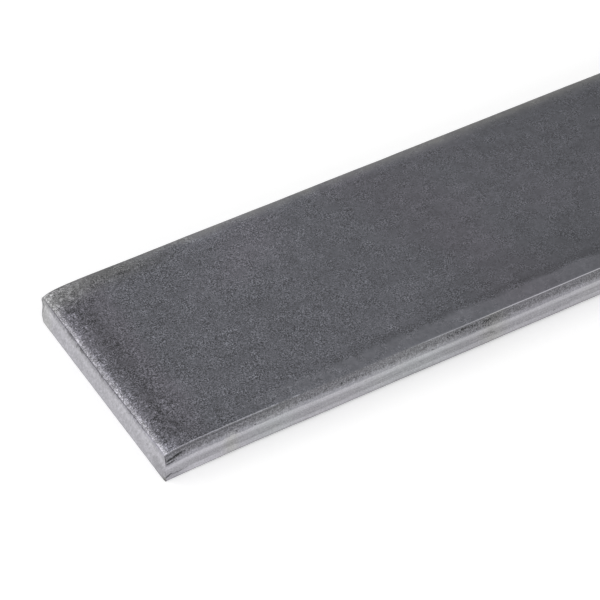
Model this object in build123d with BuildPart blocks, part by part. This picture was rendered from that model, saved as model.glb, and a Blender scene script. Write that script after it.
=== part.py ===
from build123d import *
import os

# Hot rolled steel flat bar, 1 1/2 in by 1/4 in, sheared to a stock length of 36 in.
# X runs along the bar, Y across its width, Z up from the face that it lies on.
# All sizes are in millimetres.

# The bar
length = 914.4
width = 38.1  # over the ridges of its two sides
thickness = 6.35

# Top face: a narrow land slopes down to the arris on each side
land_width = 1.6
land_fall = 0.15
arris_radius = 0.25

# Rolled sides: a ridge a little above mid height, a shallow roll groove below it,
# and a foot that turns under with a soft corner
ridge_rise = 0.45  # of the ridge above mid thickness
arris_inset = 0.3  # of the top arris, behind the ridge
groove_inset = 0.25  # of the groove, behind the ridge
foot_inset = 0.12  # of the foot, behind the ridge
foot_radius = 0.8

# Sheared ends: one stroke of the blade draws the top of one piece down in a
# roll-over, and the underside of the piece that it parts from it up
roll_length = 6.0
roll_drop = 0.9
filled_radius = 0.25  # of the near end's foot, where the cut squeezes its corner full

# Each end is lofted through a few sections, evenly spaced along its roll-over
roll_steps = 5
roll_power = 3  # the roll-over's depth grows as this power of the way to the cut

# Places that follow from the sizes
half_width = width / 2
end_x = length / 2
arris_y = half_width - arris_inset
ridge_z = thickness / 2 + ridge_rise
groove_z = (foot_radius + ridge_z) / 2


def bar_section(x, top_drop=0, foot_lift=0, foot_round=foot_radius):
    """The bar's section at a place along it, with the top drawn down or the
    underside drawn up by the shear. One half is drawn and mirrored."""
    top_z = thickness - top_drop
    arris = (arris_y, top_z - land_fall)
    ridge = (half_width, ridge_z)
    flank = (half_width - groove_inset / 2, (ridge_z + groove_z) / 2)
    groove = (half_width - groove_inset, groove_z)
    foot = (half_width - foot_inset, foot_lift)
    with BuildSketch(Plane.YZ.offset(x)) as section:
        with BuildLine():
            TangentArc((arris_y - land_width, top_z), arris, tangent=(1, 0))
            TangentArc(ridge, arris, tangent=(0, 1))
            TangentArc(ridge, flank, tangent=(0, -1))
            TangentArc(groove, flank, tangent=(0, 1))
            TangentArc(groove, foot, tangent=(0, -1))
            mirror(about=Plane.YZ)
            Line((land_width - arris_y, top_z), (arris_y - land_width, top_z))
            Line((foot_inset - half_width, foot_lift), foot)
        make_face()
        fillet(section.vertices().group_by(Axis.Y)[-2], radius=arris_radius)
        fillet(section.vertices().group_by(Axis.Y)[0], radius=foot_round)
    return section.sketch


# How far each section lies along the way from the plain bar to the cut, from 0 to 1
reaches = [step / roll_steps for step in range(roll_steps + 1)]

# Near end: the top rolls over, and the feet fill out to sharp corners
near_sections = [
    bar_section(
        x=roll_length * (1 - reach) - end_x,
        top_drop=roll_drop * reach**roll_power,
        foot_round=foot_radius + (filled_radius - foot_radius) * reach,
    )
    for reach in reaches
]

# Far end: the underside rolls up, and the top stays flat
far_sections = [
    bar_section(
        x=end_x - roll_length * (1 - reach),
        foot_lift=roll_drop * reach**roll_power,
    )
    for reach in reaches
]

with BuildPart() as flat_bar:
    extrude(near_sections[0], amount=length - 2 * roll_length)
    loft(near_sections)
    loft(far_sections)

flat_bar.part.label = "flat_bar"

os.makedirs("parts", exist_ok=True)
export_step(flat_bar.part, "parts/flat_bar.step")
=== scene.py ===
from math import cos, pi, radians, sin, tau

import bpy
import numpy as np
from mathutils import Matrix, Vector


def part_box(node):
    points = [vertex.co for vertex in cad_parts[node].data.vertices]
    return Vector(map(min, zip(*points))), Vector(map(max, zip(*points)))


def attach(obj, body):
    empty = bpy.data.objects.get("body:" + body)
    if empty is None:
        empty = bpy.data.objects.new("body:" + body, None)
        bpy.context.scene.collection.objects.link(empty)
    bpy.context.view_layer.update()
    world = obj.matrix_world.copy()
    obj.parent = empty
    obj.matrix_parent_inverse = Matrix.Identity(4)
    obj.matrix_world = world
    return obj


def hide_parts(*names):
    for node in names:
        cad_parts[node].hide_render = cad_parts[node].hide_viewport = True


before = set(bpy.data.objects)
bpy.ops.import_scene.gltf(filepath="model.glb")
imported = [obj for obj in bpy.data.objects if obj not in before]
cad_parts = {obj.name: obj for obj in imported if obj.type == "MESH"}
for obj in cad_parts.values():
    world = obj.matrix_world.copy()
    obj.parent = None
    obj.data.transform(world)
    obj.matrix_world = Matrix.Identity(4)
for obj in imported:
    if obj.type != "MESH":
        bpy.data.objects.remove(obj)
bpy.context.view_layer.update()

# Hot rolled steel flat bar with sheared ends. Shapes are worked out in millimetres and
# put into the mesh in metres. X runs along the bar, Y across it, Z up. The near end is at
# the low end of X, and the front side at the low end of Y.
MM = 0.001
NODE = "flat_bar"
PIECE = "hot_rolled_flat_bar"
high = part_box(NODE)[1]
END_X = high.x / MM
HALF_WIDTH = high.y / MM
THICKNESS = high.z / MM

# The rolled section. Its faces follow the solid's. Each corner is rounded over its cut,
# which is how far from the sharp corner the curve starts.
LAND_WIDTH, LAND_FALL = 1.6, 0.15
ARRIS_INSET, GROOVE_INSET, FOOT_INSET = 0.3, 0.25, 0.12  # behind the ridge
RIDGE_RISE = 0.45  # of the ridge above mid thickness
FOOT_RADIUS = 0.8  # of the solid
ARRIS_CUT, WORN_CUT = 0.2, 0.5  # of the front arris and the back one
FOOT_CUT = 0.8
FILLED_CUT, BACK_FILLED_CUT = 0.1, 0.5  # of the two feet at the near cut, squeezed full
RIDGE_Z = THICKNESS / 2 + RIDGE_RISE
GROOVE_Z = (FOOT_RADIUS + RIDGE_Z) / 2
ARRIS_Y = HALF_WIDTH - ARRIS_INSET
ARRIS_Z = THICKNESS - LAND_FALL
LAND_Y = ARRIS_Y - LAND_WIDTH
FOOT_Y = HALF_WIDTH - FOOT_INSET

# The sheared ends. The blade draws the face that it enters down, steeply beside the cut,
# but at the front corner gently and with the whole side. Each depth falls to about a
# third over its reach.
ROLL_DEPTH, ROLL_REACH = 0.92, 1.5
ROLL_SWELL, SWELL_Y, SWELL_REACH = 0.3, 0.0, 9.0  # it is deeper in the middle of the bar
ROLL_WANDER, ROLL_WAVE = 0.04, 9.0  # and varies a little, in waves about this long
CORNER_ROLL = 0.25  # the depth of the roll at the front corner
DROOP_DEPTH, DROOP_REACH = 0.55, 4.0
DROOP_START, DROOP_FULL = -12.5, -18.5  # the droop takes over between these places
RAGGED, SHORT_WAVE, LONG_WAVE = 0.03, 1.1, 4.0  # of the crease itself
CREASE_REACH = 0.5  # of its raggedness and its lean, along the bar
LEAN, LEAN_REACH = 0.12, 0.6  # how far the cut stands back at its crease
CORNER_BACK, CORNER_REACH = 0.14, 0.4  # and at its front edge
DISH, DISH_WANDER, DISH_WAVE = 0.07, 0.3, 6.0  # of the cut, and how its depth varies
RIPPLE, RIPPLE_WAVE, RIPPLE_SLANT = 0.012, 1.2, 0.25  # of its faint ripples
FILL_REACH = 7.0  # of the feet's filling, along the bar
NEAR_SEED, FAR_SEED = 5, 15

# The back side beside the near cut has a waist, taller below its middle, over a bulge
WAIST, WAIST_Z, WAIST_ABOVE, WAIST_BELOW = 0.82, 3.95, 0.35, 0.95
BULGE, BULGE_Z, BULGE_HALF = 0.32, 1.4, 0.8
SQUEEZE_REACH = 2.0  # of both, along the bar

# The sides stand back a little and sway in waves, each with a depth, a length and a seed.
# This fades in from a share of the half width, over another share.
SIDE_BACK = 0.05
SWAYS = ((0.02, 23.0, 7), (0.01, 6.0, 8))
SIDE_START, SIDE_FADE = 0.9, 0.08

# Stations along the bar from each end, as stretches with a start, a stop and a step
STRETCHES = ((0, 5, 0.14), (5, 20, 0.5), (20, 110, 1.5))
MIDDLE_STATIONS = 60

# Points on each stretch of half the section. The ridge lies at the same count from the
# middle of the top and of the underside, so that the ends can be closed in columns.
FLAT_STEPS, LAND_STEPS, ARRIS_STEPS, FLANK_STEPS = 48, 5, 5, 8
DIP_STEPS, TOE_STEPS, FOOT_STEPS = 7, 5, 6
QUARTER = FLAT_STEPS + LAND_STEPS + ARRIS_STEPS + FLANK_STEPS
UNDER_STEPS = QUARTER - DIP_STEPS - TOE_STEPS - FOOT_STEPS
CAP_ROWS, CAP_CROWDING = 14, 1.5

# The map has the skin in strips, one above the other, and the two cuts above them
STRIPS = 3
MAP_GAP = 2
CUT_ROOM = 12  # up the map, for the cuts
NEAR_SLIDE, FAR_SLIDE = 4, 50  # where the two cuts start across the map


def along(steps):
    """Even values from 0 up to, but not including, 1."""
    return np.arange(steps) / steps


def eased(value):
    """A value kept between 0 and 1 and smoothed at both, 3v^2 - 2v^3."""
    value = np.clip(value, 0, 1)
    return value * value * (3 - 2 * value)


def rounded(start, corner, end, steps):
    """A rounded corner: the quadratic curve that leaves start towards the corner and comes
    into end from it, (1-t)^2 start + 2t(1-t) corner + t^2 end."""
    t = along(steps)[:, None]
    return (1 - t) ** 2 * np.array(start) + 2 * t * (1 - t) * np.array(corner) + t**2 * np.array(end)


def half_section(foot_cut, arris_cut=ARRIS_CUT):
    """One half of the rolled section as rows of (distance out from the middle, height), from
    the middle of the top round the side to the middle of the underside. The land, the flank
    and the toe are parabolas, and the dip from the ridge to the groove is half a cosine wave."""

    def land(t):
        return np.stack([LAND_Y + LAND_WIDTH * t, THICKNESS - LAND_FALL * t**2], -1)

    def flank(t):
        return np.stack([HALF_WIDTH - ARRIS_INSET * (1 - t) ** 2, ARRIS_Z + (RIDGE_Z - ARRIS_Z) * t], -1)

    def dip(t):
        wave = (1 - np.cos(pi * t)) / 2
        return np.stack([HALF_WIDTH - GROOVE_INSET * wave, RIDGE_Z + (GROOVE_Z - RIDGE_Z) * t], -1)

    def toe(t):
        rise = (GROOVE_INSET - FOOT_INSET) * t**2
        return np.stack([HALF_WIDTH - GROOVE_INSET + rise, GROOVE_Z * (1 - t)], -1)

    land_part = 1 - arris_cut / LAND_WIDTH
    flank_part = arris_cut / (ARRIS_Z - RIDGE_Z)
    toe_part = 1 - foot_cut / GROOVE_Z
    foot_end = FOOT_Y - foot_cut
    arris = land(np.array(land_part)), (ARRIS_Y, ARRIS_Z), flank(np.array(flank_part))
    foot = toe(np.array(toe_part)), (FOOT_Y, 0), (foot_end, 0)
    left = 1 - np.arange(UNDER_STEPS + 1) / UNDER_STEPS
    return np.concatenate(
        [
            np.stack([LAND_Y * along(FLAT_STEPS), np.full(FLAT_STEPS, THICKNESS)], -1),
            land(land_part * along(LAND_STEPS)),
            rounded(*arris, ARRIS_STEPS),
            flank(flank_part + (1 - flank_part) * along(FLANK_STEPS)),
            dip(along(DIP_STEPS)),
            toe(toe_part * along(TOE_STEPS)),
            rounded(*foot, FOOT_STEPS),
            np.stack([foot_end * left, np.zeros_like(left)], -1),
        ]
    )


def round_half():
    """How far each point of half the section lies round it from the middle of the top."""
    steps = np.linalg.norm(np.diff(half_section(FOOT_CUT), axis=0), axis=1)
    return np.concatenate([[0], np.cumsum(steps)])


def stations():
    """Places along the bar, close together at the two ends and wide apart between."""
    near = np.concatenate([np.arange(*stretch) for stretch in STRETCHES])
    last = STRETCHES[-1][1]
    middle = np.linspace(last, 2 * END_X - last, MIDDLE_STATIONS)
    return np.concatenate([near, middle, 2 * END_X - near[::-1]]) - END_X


def wander(place, length, seed, waves=7):
    """A smooth random line about 0: a sum of sine waves, divided by the square root of their
    number. Their lengths, 0.6 to 1.7 times the given one, and their phases are drawn from the
    seed."""
    draw = np.random.default_rng(seed)
    lengths = length * draw.uniform(0.6, 1.7, waves)
    phases = draw.uniform(0, tau, waves)
    return np.sin(place[..., None] * tau / lengths + phases).sum(-1) / waves**0.5


def shear_pull(y, away, seed):
    """How far the shear draws the face that it enters at a distance away from the cut, in two
    parts. The roll is a depth times exp(-away / ROLL_REACH), swollen towards the middle of the
    bar by a bell curve, with a ragged part times exp(-away / CREASE_REACH). The droop is
    DROOP_DEPTH exp(-away / DROOP_REACH), and replaces most of the roll at the front corner."""
    corner = eased((DROOP_START - y) / (DROOP_START - DROOP_FULL))
    swell = ROLL_SWELL * np.exp(-(((y - SWELL_Y) / SWELL_REACH) ** 2))
    depth = (ROLL_DEPTH + swell) * (1 - corner) + CORNER_ROLL * corner
    depth = depth + ROLL_WANDER * wander(y, ROLL_WAVE, seed)
    ragged = RAGGED * wander(y, SHORT_WAVE, seed + 1) + RAGGED * wander(y, LONG_WAVE, seed + 2)
    roll = depth * np.exp(-away / ROLL_REACH) + ragged * np.exp(-away / CREASE_REACH)
    return roll, DROOP_DEPTH * corner * np.exp(-away / DROOP_REACH)


def below_crease(y, z, seed):
    """The depth of a point of the cut under the crease that the cut makes with the entered
    face, which lies at the face's height less the whole pull at the cut."""
    roll, droop = shear_pull(np.clip(y, -LAND_Y, LAND_Y), 0, seed)
    return np.maximum(THICKNESS - roll - droop - z, 0)


def lean(y, depth):
    """How far the cut stands back, LEAN exp(-depth / LEAN_REACH) at a depth under its crease
    and CORNER_BACK exp(-away / CORNER_REACH) away from the front side."""
    return LEAN * np.exp(-depth / LEAN_REACH) + CORNER_BACK * np.exp(-(y + HALF_WIDTH) / CORNER_REACH)


def bar_surface():
    """The bar's skin as an array of (station, point round the section, xyz).

    Both halves of the section run round the bar, blended at the near end towards the one with
    the filled foot. The top is pulled down at the near end and the underside up at the far
    end: the roll fades from the arris to the ridge, the droop from the ridge to the other
    face. The sides sway in and out a little, which fades out towards the two faces. The back
    one has a waist and a bulge beside the near cut, each a bell curve of the height. The cuts
    lean back."""
    x = stations()[:, None]
    fill = np.exp(-(x + END_X) / FILL_REACH)[..., None]
    halves = [
        half_section(FOOT_CUT, arris_cut) * (1 - fill) + half_section(filled_cut, arris_cut) * fill
        for filled_cut, arris_cut in ((BACK_FILLED_CUT, WORN_CUT), (FILLED_CUT, ARRIS_CUT))
    ]
    loop = np.concatenate([halves[0], (halves[1] * [-1, 1])[:, -2:0:-1]], 1)
    y, z = loop[..., 0], loop[..., 1]
    x = np.broadcast_to(x, y.shape)
    from_near, from_far = x + END_X, END_X - x

    roll, droop = shear_pull(y, from_near, NEAR_SEED)
    lift, hoist = shear_pull(y, from_far, FAR_SEED)
    roll_share = np.clip((z - RIDGE_Z) / (ARRIS_Z - RIDGE_Z), 0, 1)
    droop_share = np.clip(z / RIDGE_Z, 0, 1)
    lift_share = np.clip(1 - z / RIDGE_Z, 0, 1)
    hoist_share = np.clip((ARRIS_Z - z) / (ARRIS_Z - RIDGE_Z), 0, 1)
    z = z - roll * roll_share - droop * droop_share + lift * lift_share + hoist * hoist_share

    on_side = np.clip((np.abs(y) / HALF_WIDTH - SIDE_START) / SIDE_FADE, 0, 1)
    on_side = on_side * np.clip(z * (THICKNESS - z), 0, 1)
    sway = sum(depth * wander(x, length, seed) for depth, length, seed in SWAYS) - SIDE_BACK
    waist = WAIST * np.exp(-(((z - WAIST_Z) / np.where(z > WAIST_Z, WAIST_ABOVE, WAIST_BELOW)) ** 2))
    squeeze = BULGE * np.exp(-(((z - BULGE_Z) / BULGE_HALF) ** 2)) - waist
    sway = sway + np.where(y > 0, squeeze * np.exp(-from_near / SQUEEZE_REACH), 0)
    y = y + np.sign(y) * on_side * sway

    x = x + lean(y, below_crease(y, z, NEAR_SEED)) * np.exp(-from_near / CREASE_REACH)
    x = x - lean(y, below_crease(y, THICKNESS - z, FAR_SEED)) * np.exp(-from_far / CREASE_REACH)
    return np.stack([x, y, z], -1)


def end_cap(edge, inward, seed):
    """The cut inside an end's edge loop, as rows of xyz and the depth of each under the crease.

    Columns run from each point of the loop's upper half straight to the point of its lower
    half under it, with their points closer together towards the crease. The cut leans back
    under the crease, is dished by DISH sin(pi t) and has faint upright ripples. The outermost
    rows and columns are the loop's own points."""
    count = len(edge)
    upper = np.arange(-QUARTER, QUARTER + 1) % count
    lower = (count // 2 - np.arange(-QUARTER, QUARTER + 1)) % count
    t = (np.arange(CAP_ROWS + 1) / CAP_ROWS) ** CAP_CROWDING
    t = (t if inward > 0 else 1 - t[::-1])[:, None]
    y, z = (edge[upper, n] * (1 - t) + edge[lower, n] * t for n in (1, 2))
    depth = below_crease(y, z if inward > 0 else THICKNESS - z, seed)
    dish = DISH * np.sin(pi * t) * (1 + DISH_WANDER * wander(y, DISH_WAVE, seed + 3))
    ripple = RIPPLE * np.sin(pi * t) * wander(y + RIPPLE_SLANT * z, RIPPLE_WAVE, seed + 4)
    x = inward * (lean(y, depth) + dish + ripple - END_X)
    return np.stack([x, y, z], -1), depth, upper, lower


def skin_faces(rows, count, half, pitch):
    """The skin's quads, station by station, and the map places of their corners. Along the
    bar is across the map, and round the section is up it, with the strips a pitch apart."""
    i, j = (n.ravel() for n in np.meshgrid(np.arange(rows - 1), np.arange(count), indexing="ij"))
    after = (j + 1) % count
    quads = np.stack([i * count + j, i * count + after, (i + 1) * count + after, (i + 1) * count + j], 1)
    strip = 2 * END_X / STRIPS
    turn = np.concatenate([half, 2 * half[-1] - half[-2::-1]])
    x = stations() + END_X
    band = np.clip(((x[i] + x[i + 1]) / 2 / strip).astype(int), 0, STRIPS - 1)
    start, stop = x[i] - band * strip, x[i + 1] - band * strip
    rise, rise_after = turn[j] + band * pitch, turn[j + 1] + band * pitch
    corners = [(start, rise), (start, rise_after), (stop, rise_after), (stop, rise)]
    return quads, np.stack([np.stack(corner, -1) for corner in corners], 1)


def cell_corners(grid):
    """The four corners of every cell of a grid, in order round the cell."""
    return [grid[:-1, :-1], grid[:-1, 1:], grid[1:, 1:], grid[1:, :-1]]


def fill_mesh(points, quads, maps, slots, fields):
    """Puts arrays into a mesh: the points, and for each face its points, its corners' places
    on a map that is 1 across, and its material. A field is a value of each point. A quad that
    has the same point twice, as beside the ridge on a cut, is a triangle."""
    kept = quads != np.roll(quads, 1, 1)
    starts = np.concatenate([[0], np.cumsum(kept.sum(1))[:-1]])
    mesh = bpy.data.meshes.new(PIECE)
    mesh.vertices.add(len(points))
    mesh.vertices.foreach_set("co", points.ravel())
    mesh.loops.add(int(kept.sum()))
    mesh.loops.foreach_set("vertex_index", quads[kept].astype(np.int32))
    mesh.polygons.add(len(quads))
    mesh.polygons.foreach_set("loop_start", starts.astype(np.int32))
    mesh.polygons.foreach_set("material_index", slots.astype(np.int32))
    mesh.polygons.foreach_set("use_smooth", np.ones(len(quads), bool))
    layer = mesh.uv_layers.new(name="OFBake")
    layer.data.foreach_set("uv", maps[kept].astype(np.float32).ravel())
    for name, values in fields.items():
        field = mesh.attributes.new(name, "FLOAT", "POINT")
        field.data.foreach_set("value", values.astype(np.float32))
    mesh.update(calc_edges=True)
    return mesh


def sharpen_cuts(mesh, rows, count):
    """Makes the edges round the two cuts sharp: both their points lie on one end's loop."""
    loop = np.arange(len(mesh.vertices)) // count
    ends = (loop == 0) | (loop == rows - 1)
    pairs = np.zeros(len(mesh.edges) * 2, np.int32)
    mesh.edges.foreach_get("vertices", pairs)
    pairs = pairs.reshape(-1, 2)
    sharp = ends[pairs].all(1) & (loop[pairs[:, 0]] == loop[pairs[:, 1]])
    mesh.attributes.new("sharp_edge", "BOOLEAN", "EDGE").data.foreach_set("value", sharp)


def make_bar():
    """Joins the skin and the two cuts into one closed mesh. It has sharp edges round the cuts,
    one value that tells how far round the section a point of the skin lies and one that tells
    how deep a point of a cut lies under its crease, and a map that lays the skin out flat in
    strips with the two cuts above them."""
    skin = bar_surface()
    rows, count = skin.shape[:2]
    half = round_half()
    pitch = 2 * half[-1] + MAP_GAP
    points = [skin.reshape(-1, 3)]
    around = [np.tile(np.concatenate([half, half[-2:0:-1]]), rows)]
    sunk = [np.zeros(rows * count)]
    quads, maps = ([part] for part in skin_faces(rows, count, half, pitch))
    slots = [np.zeros(len(quads[0]), int)]

    # The cuts share the skin's first and last loops
    used = rows * count
    for row, inward, seed, slide in ((0, 1, NEAR_SEED, NEAR_SLIDE), (rows - 1, -1, FAR_SEED, FAR_SLIDE)):
        grid, depth, upper, lower = end_cap(skin[row], inward, seed)
        inner, sunk_inner = grid[1:-1, 1:-1], depth[1:-1, 1:-1]
        index = np.zeros(depth.shape, int)
        index[1:-1, 1:-1] = used + np.arange(sunk_inner.size).reshape(sunk_inner.shape)
        index[0], index[-1] = row * count + upper, row * count + lower
        index[:, 0], index[:, -1] = index[0, 0], index[0, -1]
        used += sunk_inner.size
        points.append(inner.reshape(-1, 3))
        around.append(np.zeros(sunk_inner.size))
        sunk.append(sunk_inner.ravel())
        sunk[0][row * count + upper] = depth[0]
        sunk[0][row * count + lower] = depth[-1]
        flat = np.stack([grid[..., 1] + HALF_WIDTH + slide, grid[..., 2] + STRIPS * pitch + MAP_GAP], -1)
        quads.append(np.stack([n.ravel() for n in cell_corners(index)[::inward]], 1))
        maps.append(np.stack([n.reshape(-1, 2) for n in cell_corners(flat)[::inward]], 1))
        slots.append(np.ones(len(quads[-1]), int))

    points, quads, maps, slots = (np.concatenate(parts) for parts in (points, quads, maps, slots))
    fields = {"around": np.concatenate(around), "sunk": np.concatenate(sunk)}
    size = max(2 * END_X / STRIPS, STRIPS * pitch + CUT_ROOM)
    mesh = fill_mesh(points * MM, quads, maps / size, slots, fields)
    sharpen_cuts(mesh, rows, count)
    mesh.validate()
    bar = bpy.data.objects.new(PIECE, mesh)
    bpy.context.scene.collection.objects.link(bar)
    return bar


class Value:
    """A number, vector or colour that shading works out: a socket, with arithmetic."""

    def __init__(self, shading, socket):
        self.shading, self.socket = shading, socket

    def math(self, operation, *others):
        """What a Math node makes of this value and the others."""
        inputs = dict(enumerate((self, *others)))
        return self.shading.node("ShaderNodeMath", {"operation": operation}, inputs)

    def __add__(self, other):
        return self.math("ADD", other)

    def __sub__(self, other):
        return self.math("SUBTRACT", other)

    def __rsub__(self, other):
        return self.shading.node("ShaderNodeMath", {"operation": "SUBTRACT"}, {0: other, 1: self})

    def __mul__(self, other):
        return self.math("MULTIPLY", other)

    def __truediv__(self, other):
        return self.math("DIVIDE", other)

    def __pow__(self, other):
        return self.math("POWER", other)

    def __abs__(self):
        return self.math("ABSOLUTE")

    __radd__, __rmul__ = __add__, __mul__

    def at_least(self, other):
        """The larger of this value and the other."""
        return self.math("MAXIMUM", other)

    def ramp(self, low, high):
        """Rises smoothly from 0 at low to 1 at high, or falls where low is the larger."""
        inputs = {"Value": self, "From Min": low, "From Max": high}
        if low > high:
            inputs |= {"From Min": high, "From Max": low, "To Min": 1.0, "To Max": 0.0}
        return self.shading.node("ShaderNodeMapRange", {"interpolation_type": "SMOOTHSTEP"}, inputs)

    def near(self, middle, reach):
        """1 at the middle, falling smoothly to 0 at reach to either side."""
        return abs(self - middle).ramp(reach, 0)

    def scaled(self, x, y, z):
        """A vector stretched along each axis."""
        return self.shading.node("ShaderNodeVectorMath", {"operation": "MULTIPLY"}, {0: self, 1: (x, y, z)})


class Shading:
    """A node tree that is being filled."""

    def __init__(self, tree):
        self.tree = tree

    def node(self, kind, settings=None, inputs=None, output=0):
        """Adds a node: its settings first, then the values or links of its sockets."""
        made = self.tree.nodes.new(kind)
        for key, setting in (settings or {}).items():
            setattr(made, key, setting)
        for key, given in (inputs or {}).items():
            self.feed(made.inputs[key], given)
        return Value(self, made.outputs[output])

    def outputs(self, kind, inputs=None):
        """Adds a node that has several outputs, and gives them all by name."""
        made = self.node(kind, {}, inputs).socket.node
        return {socket.name: Value(self, socket) for socket in made.outputs}

    def feed(self, socket, given):
        """Links a value to a socket, or sets the socket to a plain number or tuple."""
        if isinstance(given, Value):
            self.tree.links.new(given.socket, socket)
        else:
            socket.default_value = given


class Finish(Shading):
    """A material being made, with the places that its patterns read, in millimetres."""

    def __init__(self, name):
        self.material = bpy.data.materials.new(name)
        self.material.use_nodes = True
        super().__init__(self.material.node_tree)
        self.shader = self.tree.nodes["Principled BSDF"]
        self.place = self.node("ShaderNodeTexCoord", output="Object").scaled(1 / MM, 1 / MM, 1 / MM)
        self.x, self.y, self.z = self.outputs("ShaderNodeSeparateXYZ", {0: self.place}).values()

    def attribute(self, name):
        """The value that the mesh's field of this name has at a point."""
        return self.node("ShaderNodeAttribute", {"attribute_name": name}, output="Fac")

    def noise(self, place, size, detail=2.0, rough=0.5):
        """Soft random patches about as large as size, in millimetres, from -1 to 1."""
        inputs = {"Vector": place, "Scale": 1 / size, "Detail": detail, "Roughness": rough}
        return (self.node("ShaderNodeTexNoise", {}, inputs) - 0.5) * 2

    def joined(self, x, y, z):
        """A vector of three values."""
        return self.node("ShaderNodeCombineXYZ", {}, {0: x, 1: y, 2: z})

    def mix(self, factor, first, second):
        """From the first number to the second as the factor goes from 0 to 1."""
        return self.node("ShaderNodeMix", {}, {"Factor": factor, "A": first, "B": second})

    def tint(self, level, *stages):
        """A colour as light as level, which is a share of white as a screen shows it. Each
        stage after the first tint is a factor and the tint that it mixes in."""
        colour = stages[0]
        for factor, other in stages[1:]:
            inputs = {0: factor, 6: (*colour, 1) if isinstance(colour, tuple) else colour, 7: (*other, 1)}
            colour = self.node("ShaderNodeMix", {"data_type": "RGBA"}, inputs, output=2)
        inputs = {0: colour, "Scale": level**SCREEN_POWER}
        return self.node("ShaderNodeVectorMath", {"operation": "SCALE"}, inputs)

    def bump(self, height):
        """A surface relief whose height is in millimetres."""
        return self.node("ShaderNodeBump", {}, {"Height": height, "Distance": MM, "Strength": 1.0})

    def spot(self, across, up, middle, reach, slope, ragged):
        """1 within an oval round a middle, 0 outside it. Its long axis rises by the slope, and
        the ragged value added to its squared distance frays its edge."""
        across = across - middle[0]
        aside = across / reach[0]
        above = (up - middle[1] - across * slope) / reach[1]
        return (aside * aside + above * above + ragged).ramp(1.0, 0.3)

    def dress(self, **values):
        """Feeds the shader's sockets, named with underscores for spaces."""
        for name, given in values.items():
            self.feed(self.shader.inputs[name.replace("_", " ")], given)
        return self.material


# Tints of the finishes, and how light each finish is before its patterns, as a share of
# white on a screen
SCREEN_POWER = 2.2
SCALE_TINT = (0.95, 0.968, 1.105)
VIOLET_TINT = (0.98, 0.953, 1.105)
BARE_TINT = (0.99, 0.973, 1.045)
COOL_TINT = (0.968, 0.986, 1.03)
GREY_TINT = (0.98, 0.98, 0.975)
OLIVE_TINT = (0.985, 0.98, 0.95)
SCALE_LEVEL = 0.376
# The ridge is lighter partly from wear and partly from painted reflection of the floor
SIDE_LEVEL, RIDGE_LIFT = 0.455, 0.272  # of the sides' scale, and how much lighter the ridge is
# The arris line is partly wear and partly painted highlight
ARRIS_LEVEL = 0.77
CUT_LEVEL = 0.705

# Marks on the top beside the near cut, light, or dark with a minus: place across, place
# from the cut, half width, half length, slope and strength
TOP_MARKS = (
    (-18.3, 0.15, 0.5, 0.16, 0.0, 0.09),
    (-16.9, 0.2, 0.6, 0.2, 0.0, 0.11),
    (-17.42, 0.9, 0.1, 0.8, 0.0, 0.12),  # a scratch that runs away from the cut
    (-16.9, 1.2, 0.25, 0.5, 0.0, -0.12),
    (-16.2, 2.0, 0.7, 0.22, 0.2, 0.1),
    (-15.6, 3.5, 0.6, 0.3, 0.0, 0.09),
    (-12.4, 2.1, 0.3, 0.5, 0.0, -0.12),
    (-9.8, 2.2, 0.3, 0.25, 0.0, 0.12),
    (-9.0, 1.5, 0.5, 0.13, 0.5, 0.1),
    (7.6, 0.25, 0.6, 0.2, 0.0, 0.12),
    (10.3, 0.35, 0.7, 0.2, 0.0, 0.12),
    (11.7, 0.45, 0.5, 0.2, 0.0, 0.1),
    (7.6, 2.55, 0.5, 0.18, 0.0, 0.13),
    (8.7, 2.3, 0.55, 0.18, -0.1, 0.16),
    (11.0, 2.75, 1.2, 0.2, 0.2, -0.08),
    (11.8, 2.05, 0.8, 0.2, 0.15, 0.12),
    (12.3, 3.5, 0.5, 0.25, 0.0, 0.11),
    (14.75, 0.75, 0.2, 0.4, 0.0, -0.15),
    (17.5, 1.05, 0.8, 0.5, 0.0, -0.09),
    (13.2, 2.0, 0.9, 0.8, 0.0, -0.085),
    (-11.2, 3.3, 1.0, 0.5, 0.0, -0.08),
    (-14.2, 3.6, 0.5, 0.6, 0.0, -0.06),
    (-15.1, 5.6, 0.6, 0.6, 0.0, -0.045),
    (-15.7, 10.4, 0.6, 0.9, 0.0, -0.05),
    (4.9, 3.4, 0.8, 0.5, 0.0, -0.04),
    (9.5, 3.8, 0.6, 0.5, 0.0, -0.04),
    (13.3, 5.6, 0.7, 0.6, 0.0, -0.06),
    (15.7, 10.2, 0.5, 0.8, 0.0, 0.05),
    (16.2, 12.0, 0.3, 1.9, 0.0, -0.06),
)

# Dark marks on the front side: place along the bar from the near end, place down from the
# arris, half length, half height, slope and strength
SIDE_MARKS = (
    (1.75, 1.38, 1.95, 0.27, -0.18, 0.3),  # smears under the top at the near corner
    (1.1, 2.15, 1.0, 0.2, -0.1, 0.28),
    (0.1, 1.6, 0.22, 1.1, 0.0, 0.09),
    (0.6, 4.84, 0.9, 0.16, -0.18, 0.28),  # a score low down at the same corner
    (2.1, 4.88, 1.3, 0.12, 0.0, 0.13),
    (0.0, 5.7, 0.6, 0.5, 0.0, 0.22),
    (11.65, 1.85, 0.25, 0.35, 0.8, 0.2),
    (14.8, 2.15, 0.28, 0.11, 0.0, 0.2),
    (44.7, 2.2, 0.4, 0.12, 0.3, 0.17),
    (37.9, 1.9, 0.5, 0.15, 0.0, 0.1),
    (55.3, 4.2, 0.8, 0.16, 0.1, 0.12),
    (54.3, 3.9, 1.6, 0.3, 0.1, 0.06),
    (66.3, 5.0, 0.3, 0.12, 0.0, 0.12),
    (54.9, 3.4, 0.6, 1.0, 0.0, 0.04),
    (18.1, 0.12, 0.85, 0.12, 0.0, -0.16),  # rubbed scraps of the arris
    (21.7, 0.12, 0.75, 0.12, 0.0, -0.15),
)

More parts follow.
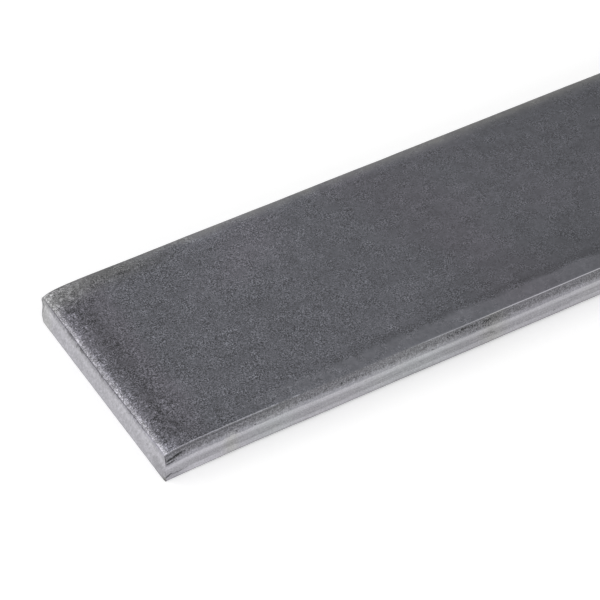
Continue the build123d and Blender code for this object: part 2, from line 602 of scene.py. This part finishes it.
# Pits with scale left in them, on the same side and in the same terms
SIDE_PITS = (
    (49.9, 0.75, 1.7, 0.26, 0.0, 0.34),
    (47.8, 1.05, 0.9, 0.3, -0.1, 0.24),
    (51.9, 0.95, 1.0, 0.24, 0.25, 0.26),
    (54.1, 1.15, 1.0, 0.5, 0.1, 0.34),
    (52.6, 1.85, 2.3, 0.26, -0.05, 0.22),
    (54.6, 1.95, 0.9, 0.4, 0.1, 0.18),
    (30.5, 1.2, 2.2, 0.18, 0.0, 0.22),
)


def rolled_finish():
    """Mill scale on the flats, worn bright along the sides, the arrises and the roll-over, with painted
    light and shade.

    Its patterns read how far a point lies across the bar, from the near cut, from the nearest
    cut, and down from the arris round the section, where the ridge lies at about 2.6, the
    groove at 4 and the start of the foot's rounding at 5.4. Each line of a level adds or takes
    one pattern times its strength."""
    f = Finish("hot rolled scale, worn sides, painted light and shade")
    down = f.attribute("around") - (LAND_Y + LAND_WIDTH)
    near = f.x + END_X
    cut = near.math("MINIMUM", END_X - f.x)
    back = f.y.ramp(-1, 1)
    front = 1 - back
    grain = f.noise(f.place, 0.2, detail=3, rough=0.6)
    coarse = f.noise(f.place, 0.6)
    mottle = f.noise(f.place, 3.0)
    cloud = f.noise(f.place, 14.0, detail=1)
    drift = f.noise(f.place.scaled(0.12, 1, 1), 1.6)
    fibre = f.noise(f.place.scaled(0.5, 1.5, 1), 0.3)
    patchy = f.noise(f.place.scaled(0.8, 1, 1), 1.7, detail=1)

    # Scale, lighter and coarser where the shear tore it beside the cut. Painted shade darkens
    # it from about 30 to 150 mm from the near cut, where the light falls off.
    torn = cut.ramp(5, 0.5)
    level = SCALE_LEVEL + cloud * 0.034 + mottle * 0.036 + drift * 0.01 - near.near(90, 60) * 0.034
    level += grain * (0.5 - near.ramp(14, 68) * 0.25 + patchy * 0.5)
    level += coarse * (0.05 + torn * 0.07)
    edge = (cut + coarse * 0.3 + fibre * 0.4).ramp(1.1, 0.25)  # the ragged rim of the cut
    edge_lift = 0.15 + cut.ramp(0.5, 0.1) * 0.025 + coarse * 0.1 + patchy * 0.07 + f.y.near(-2, 9) * 0.04
    level += edge * edge_lift
    level += edge * f.y.ramp(-14, -16) * near.ramp(1.0, 0.3) * 0.045
    level += fibre * torn * (0.16 + edge * 0.14)
    level += cut.ramp(3.4, 1.2) * 0.03
    # Painted shade where the roll-over starts to slope down from the top
    level -= cut.near(3.5, 3.2) * (0.05 + mottle * 0.03)  # where the roll-over starts
    clump = f.noise(f.place, 1.2, detail=1) * cut.near(3.0, 2.8)
    level += clump * (0.02 + abs(f.y).ramp(8, 11) * 0.12)  # stronger towards both sides
    chip = (f.noise(f.place, 0.4) + coarse * 0.4 + cut.ramp(2.6, 0) * 0.4).ramp(0.34, 0.6) * torn
    level += chip * (0.13 - edge * 0.07)

    # Lands: the back one is lighter out to its arris, in a painted reflection where it slopes
    # away, the front one smoother with a dark stripe beside it, and both are paler at the near
    # corners
    frayed = down + mottle * 0.5 + drift * 0.4
    back_land_reflection = frayed.ramp(-3.2, 0.1) * back
    pale = (f.y + coarse * 0.6).ramp(13.0, 15.2) * (near + mottle * 1.5).ramp(8, 4) * near.ramp(0.0, 0.4)
    front_land = frayed.ramp(-3.05, -2.0) * front * near.ramp(9, 23)
    plain = 1 - edge * 0.75
    level += back_land_reflection * (0.118 - near.near(10, 7) * 0.08 - grain * near.ramp(4, 10) * 0.25) * plain
    level -= down.near(0.1, 0.4) * back * near.ramp(28, 18) * near.ramp(0.3, 1.2) * 0.14
    level += pale * (0.085 + coarse * 0.1) * plain
    level += f.y.ramp(-16.5, -17.2) * near.ramp(6, 2) * 0.085 * plain
    level += front_land * (0.043 - grain * 0.24)
    level -= frayed.near(-3.4, 1.2) * front * near.ramp(12, 50) * 0.035  # the dark stripe
    level -= (f.y.ramp(-7, -14) - front_land) * front * near.ramp(38, 54) * 0.012

    # Sides: scale under the arris, bright on the ridge, duller in the groove, bright again
    # above the foot, which turns under into scale. The bright bands are partly worn bare metal
    # and partly painted reflection of the floor, and the dark turn of the foot is partly scale
    # and partly painted contact shade along the bottom edge. The first border is frayed in
    # flecks, and all borders sag here and there.
    flame = f.noise(f.place.scaled(1.7, 1, 1.1), 1.0, detail=3)
    streak = f.noise(f.place.scaled(0.16, 1, 5), 1.0, detail=3)
    sagged = near.ramp(6, 1) * 0.22 + near.near(41, 7) * 0.1 + near.ramp(52, 60) * 0.14
    sagged -= near.near(11, 2) * 0.18
    sagged += near.near(30, 9) * 0.1
    band = down + drift * 0.16 + cloud * 0.12 - sagged
    bright = (band + flame * 0.6).ramp(1.2, 1.95) * 0.55 + (band + flame * 0.12).ramp(2.22, 2.5) * 0.45
    ridge = RIDGE_LIFT + near.ramp(14, 2) * band.near(2.9, 1.0) * 0.03 - near.near(36, 16) * 0.02
    side_wear_and_reflection = SIDE_LEVEL + bright * ridge
    side_wear_and_reflection -= (band - near.ramp(14, 6) * 0.28).ramp(3.0, 3.8) * 0.095  # the groove
    side_wear_and_reflection += near.near(38, 14) * 0.015
    side_wear_and_reflection -= (near.ramp(44, 50) - near.ramp(54, 60) * 0.7) * (0.035 + band.near(1.9, 0.6) * 0.04)
    foot = band + drift * 0.2
    # Painted reflection of the floor lightens the band above the foot
    foot_reflection_lift = 0.085 + near.near(5, 4) * 0.03 - near.near(40.5, 6) * 0.045 - near.ramp(56, 60) * 0.01
    side_wear_and_reflection += foot.ramp(4.72, 4.95) * near.ramp(0.5, 4.5) * foot_reflection_lift  # above the foot
    # Painted shade along the turn of the foot
    side_wear_and_reflection -= down.near(5.75, 0.35) * near.ramp(5, 14) * 0.055  # the turn of the foot
    side_wear_and_reflection -= foot.near(4.7, 0.14) * coarse.ramp(-0.1, 0.3) * 0.04
    side_wear_and_reflection += grain * (0.4 - bright * 0.2)
    side_wear_and_reflection += flame * (0.06 - bright * 0.03)
    side_wear_and_reflection += streak * bright * 0.08
    speck = (f.noise(f.place, 0.35) + coarse * 0.5).ramp(0.36, 0.55) * band.near(1.7, 1.0)

    # This finish reaches from just under the arris to the turn of the foot, and near the cut
    # scale is left under the front arris. Past the turn of the foot, the dark scale is also
    # painted contact shade along the bottom edge.
    side = (down + grain * 0.1).ramp(0.08, 0.24) * (down + drift * 0.2 + coarse * 0.15).ramp(5.98, 5.8)
    level = f.mix(side, level, side_wear_and_reflection + mottle * 0.012 - speck * 0.12)
    level -= down.near(0.5, 0.26) * near.ramp(24, 16) * front * 0.09
    level -= down.near(0.25, 0.4) * near.near(30, 9) * front * 0.05

    # The arris is worn to a thin bright line, lightened further as a painted highlight, broken where scale
    # still covers it
    worn = near.ramp(18, 16) + near.ramp(38, 51) + 0.2 + drift * 0.3 + coarse * 0.35
    line = (down - near.ramp(20, 50) * 0.1).near(0.12, 0.13) * worn.ramp(0.0, 1.0)
    line *= 0.62 + near.ramp(50, 58) * 0.35
    level = f.mix(line, level, ARRIS_LEVEL)

    # Marks
    flats = 1 - side
    ragged = grain * 1.2 + coarse * 0.6
    for y, place, width, length, slope, strength in TOP_MARKS:
        level += f.spot(f.y, near, (y, place), (width, length), slope, ragged) * flats * strength
    for x, place, length, height, slope, strength in SIDE_MARKS:
        level -= f.spot(near, down, (x, place), (length, height), slope, ragged) * front * strength
    pit = f.noise(f.place, 0.24, detail=1).ramp(-0.02, 0.2) * front
    for x, place, length, height, slope, strength in SIDE_PITS:
        level -= f.spot(near, down, (x, place), (length, height), slope, ragged) * pit * strength

    # Relief, and where each tint shows
    bare = (bright * side).at_least(line).at_least(edge * 0.8)
    relief = grain * (1 - bare) * 0.012 + coarse * torn * 0.02 + streak * bare * 0.004 + mottle * 0.01
    hue = cut.ramp(10, 6).at_least((near + f.y * 0.25).near(58, 11)) + cloud * 1.1
    skinned = bare.at_least(side * 0.6)
    cool = near.near(42, 13).at_least(near.near(18, 6)) * skinned
    greyed = (f.y + near.ramp(8, 3) * 1.2).ramp(13.5, 17.5) * near.ramp(24, 12) * 0.85
    greyed = greyed.at_least(f.y.ramp(16.3, 18.2) * (0.72 + mottle * 0.7))
    greyed += near.ramp(58, 66) * f.y.ramp(15.4, 17.0) * 0.25
    greyed += front_land * 0.1
    stain = (near.near(10.9, 1.9) + mottle.ramp(0.1, 0.5) * 0.3) * bare
    stain += (near.near(55.4, 3.6) + near.near(73, 3) * 0.25) * side
    colour = f.tint(
        level,
        SCALE_TINT,
        (hue, VIOLET_TINT),
        (skinned, BARE_TINT),
        (cool, COOL_TINT),
        (greyed, GREY_TINT),
        (stain * 0.65, OLIVE_TINT),
    )
    return f.dress(
        Base_Color=colour,
        Metallic=f.mix(bare, 0.3, 0.7),
        Roughness=f.mix(bare, 0.55, 0.4) + grain * 0.1,
        Normal=f.bump(relief),
    )


# Marks on the near cut, dark, or light with a minus: place across the bar, depth under the
# crease, half width, half height, slope and strength
CUT_MARKS = (
    (6.15, 0.5, 0.8, 0.5, 0.0, 0.16),
    (9.6, 0.4, 1.4, 0.45, 0.0, 0.12),
    (0.2, 0.4, 1.6, 0.35, 0.0, 0.08),
    (7.68, 0.95, 0.28, 0.34, 2.0, 0.32),  # a nick
    (11.2, 0.7, 0.25, 0.5, 1.0, -0.08),
    (15.9, 1.5, 0.9, 0.4, 0.0, -0.05),
    (-11.2, 1.7, 0.8, 0.15, 0.67, -0.07),
    (-13.9, 2.2, 0.45, 0.25, 0.9, 0.05),
)


def cut_finish():
    """Bare steel of the sheared ends, drawn in slanting streaks, with painted shade under the crease and
    along its bottom edge.

    Its patterns read how deep a point lies under the crease, how far across the bar and how
    high. Streaks and strokes are noise drawn out along a line that rises steeply towards the
    front."""
    f = Finish("sheared bare steel")
    deep = f.attribute("sunk")
    near = f.x.ramp(1, -1)
    grain = f.noise(f.place, 0.25, detail=3)
    streak = f.noise(f.joined(f.y * 0.5 - f.z * 0.8, f.y * 1.9 + f.z * 1.2, 0), 1.0, detail=3)
    stroke = f.noise(f.joined(f.y * 0.4 - f.z * 0.65, f.y * 3.4 + f.z * 2.1, 5), 1.0, detail=1)
    cloud = f.noise(f.place, 2.4)

    # Painted shade under the crease, less so at the front corner
    shaded = f.y.ramp(-16.5, -9.5)
    reach = 1.25 + f.y.ramp(-6, -1) * 0.7 + f.y.near(10, 4) * 0.35
    shade = ((deep + streak * 0.4 + stroke * 1.1) / reach).ramp(1, 0) * shaded
    level = CUT_LEVEL + streak * 0.12 + cloud * 0.05 + grain * 0.17 - shade * 0.165
    level += deep.near(1.7, 0.9) * 0.015
    level -= stroke.ramp(0.2, 0.45) * 0.06
    level += stroke.ramp(-0.25, -0.5) * 0.035
    # A thin dark line of painted shadow just under the crease, lighter at the back corner
    crease = (deep + grain * 0.15 + streak * 0.2).near(0.16, 0.2) * (0.4 + shaded * 0.6)
    level -= crease * (0.25 - stroke * 0.5) * (1 - f.y.ramp(14.5, 16.5) * 0.4)
    level -= f.y.near(1.5, 4) * f.z.near(3.0, 0.9) * 0.03
    level -= f.z.near(1.7, 1.2) * 0.022
    # Painted contact shade along the bottom edge, broken by the streaks
    level -= f.z.ramp(0.35, 0.1) * (0.04 + streak * 0.2)

    # The front corner is duller, with a bright patch at mid height and a dark spot at its
    # foot, and the back corner a little lighter
    level += f.y.ramp(-14, -16.5) * (f.z.near(3.6, 1.5) * 0.055 - 0.07)
    level += f.y.ramp(14.5, 17) * deep.near(1.5, 1.0) * 0.03
    spotted = f.y.ramp(-17.9, -18.7) * f.z.ramp(0.9, 0.4)
    level -= spotted * 0.2

    # Marks
    ragged = grain * 0.9 + streak * 0.6
    for y, place, width, height, slope, strength in CUT_MARKS:
        level -= f.spot(f.y, deep, (y, place), (width, height), slope, ragged) * near * strength
    return f.dress(
        Base_Color=f.tint(
            level,
            BARE_TINT,
            # violet in the painted shade under the crease
            (deep.ramp(1.0, 0.1) * 0.9, VIOLET_TINT),
            (f.y.ramp(15, 17.5) * 0.8, GREY_TINT),
            (spotted, OLIVE_TINT),
        ),
        Metallic=0.7,
        Roughness=0.42 + streak * 0.1,
        Normal=f.bump(streak * 0.012 + grain * 0.006),
    )


# The camera stands in front of the near end, to its left. Its place is set by the corner of
# the near end's underside, which it sees at a known point of a picture 600 pixels wide.
PICTURE = 600
TURN, RISE = radians(-30.57), radians(43.895)
FOCAL = 3177.5  # in pixels
CORNER_SEEN = (165.63, 482.71)
CORNER_DEPTH = 450.5 * MM
SENSOR = 36.0


def set_camera():
    """Looks from the azimuth TURN and the elevation RISE, at the depth and offset that put the
    near corner of the underside where it is seen."""
    right = Vector((cos(TURN), sin(TURN), 0))
    ahead = Vector((-sin(TURN) * cos(RISE), cos(TURN) * cos(RISE), -sin(RISE)))
    up = right.cross(ahead)
    corner = Vector((-END_X * MM, -HALF_WIDTH * MM, 0))
    aside = (CORNER_SEEN[0] - PICTURE / 2) * CORNER_DEPTH / FOCAL
    above = (PICTURE / 2 - CORNER_SEEN[1]) * CORNER_DEPTH / FOCAL
    place = corner - aside * right - above * up - CORNER_DEPTH * ahead
    lens = bpy.data.cameras.new("camera")
    lens.sensor_width = SENSOR
    lens.lens = FOCAL * SENSOR / PICTURE
    lens.clip_start, lens.clip_end = 0.01, 20
    camera = bpy.data.objects.new("camera", lens)
    turned = Matrix((right, up, -ahead)).transposed().to_4x4()
    camera.matrix_world = Matrix.Translation(place) @ turned
    bpy.context.scene.collection.objects.link(camera)
    bpy.context.scene.camera = camera


# The studio, in metres and watts. The floor and the room look lighter, to the camera and
# in reflections, than the light that they give the bar.
WHITE = (1, 1, 1, 1)
FLOOR_REACH, FLOOR_GLOW = 6.0, 0.35
FLOOR_COLOUR = (0.9, 0.9, 0.9, 1)
ROOM_COLOUR = (0.8, 0.8, 0.8, 1)
SKY_STRENGTH = 0.58
PANELS = (
    ("key light", (-0.75, 0.2, 0.42), 0.5, 0.9),
    ("front light", (-0.3, -1.4, 0.6), 0.8, 5),
)


def set_floor():
    """A pale matt floor, which glows a little where the camera or a reflection shows it."""
    mesh = bpy.data.meshes.new("floor")
    corners = [(x * FLOOR_REACH, y * FLOOR_REACH, 0) for x, y in ((-1, -1), (1, -1), (1, 1), (-1, 1))]
    mesh.from_pydata(corners, [], [(0, 1, 2, 3)])
    floor = bpy.data.objects.new("floor", mesh)
    bpy.context.scene.collection.objects.link(floor)
    f = Finish("floor")
    f.dress(Base_Color=FLOOR_COLOUR, Roughness=1.0, Specular_IOR_Level=0.0)
    rays = f.outputs("ShaderNodeLightPath")
    seen = rays["Is Camera Ray"].at_least(rays["Is Glossy Ray"])
    glow = f.node("ShaderNodeEmission", {}, {"Color": WHITE, "Strength": FLOOR_GLOW})
    plain = Value(f, f.shader.outputs[0])
    both = f.node("ShaderNodeAddShader", {}, {0: plain, 1: glow})
    pick = f.node("ShaderNodeMixShader", {}, {0: seen, 1: plain, 2: both})
    f.feed(f.tree.nodes["Material Output"].inputs["Surface"], pick)
    mesh.materials.append(f.material)


def set_room():
    """An even light from all round, and in its place a pale room where it is seen."""
    world = bpy.data.worlds.new("studio")
    bpy.context.scene.world = world
    world.use_nodes = True
    w = Shading(world.node_tree)
    sky = w.tree.nodes["Background"]
    w.feed(sky.inputs["Color"], WHITE)
    w.feed(sky.inputs["Strength"], SKY_STRENGTH)
    room = w.node("ShaderNodeBackground", {}, {"Color": ROOM_COLOUR, "Strength": 1.0})
    rays = w.outputs("ShaderNodeLightPath")
    seen = rays["Is Camera Ray"].at_least(rays["Is Glossy Ray"]).at_least(rays["Is Transmission Ray"])
    pick = w.node("ShaderNodeMixShader", {}, {0: seen, 1: Value(w, sky.outputs[0]), 2: room})
    w.feed(w.tree.nodes["World Output"].inputs["Surface"], pick)


def set_lights():
    """Square soft lights, each with a name, a place, a size and a power, turned to the near
    end."""
    aim = Vector((-END_X * MM, 0, 0))
    for name, place, size, power in PANELS:
        lamp = bpy.data.lights.new(name, "AREA")
        lamp.shape, lamp.size, lamp.energy = "SQUARE", size, power
        panel = bpy.data.objects.new(name, lamp)
        panel.location = place
        panel.rotation_euler = (aim - Vector(place)).to_track_quat("-Z", "Y").to_euler()
        bpy.context.scene.collection.objects.link(panel)


bar = make_bar()
bar.data.materials.append(rolled_finish())
bar.data.materials.append(cut_finish())
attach(bar, "root")
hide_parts(NODE)
set_floor()
set_room()
set_lights()
set_camera()
bpy.context.scene.view_settings.view_transform = "Standard"
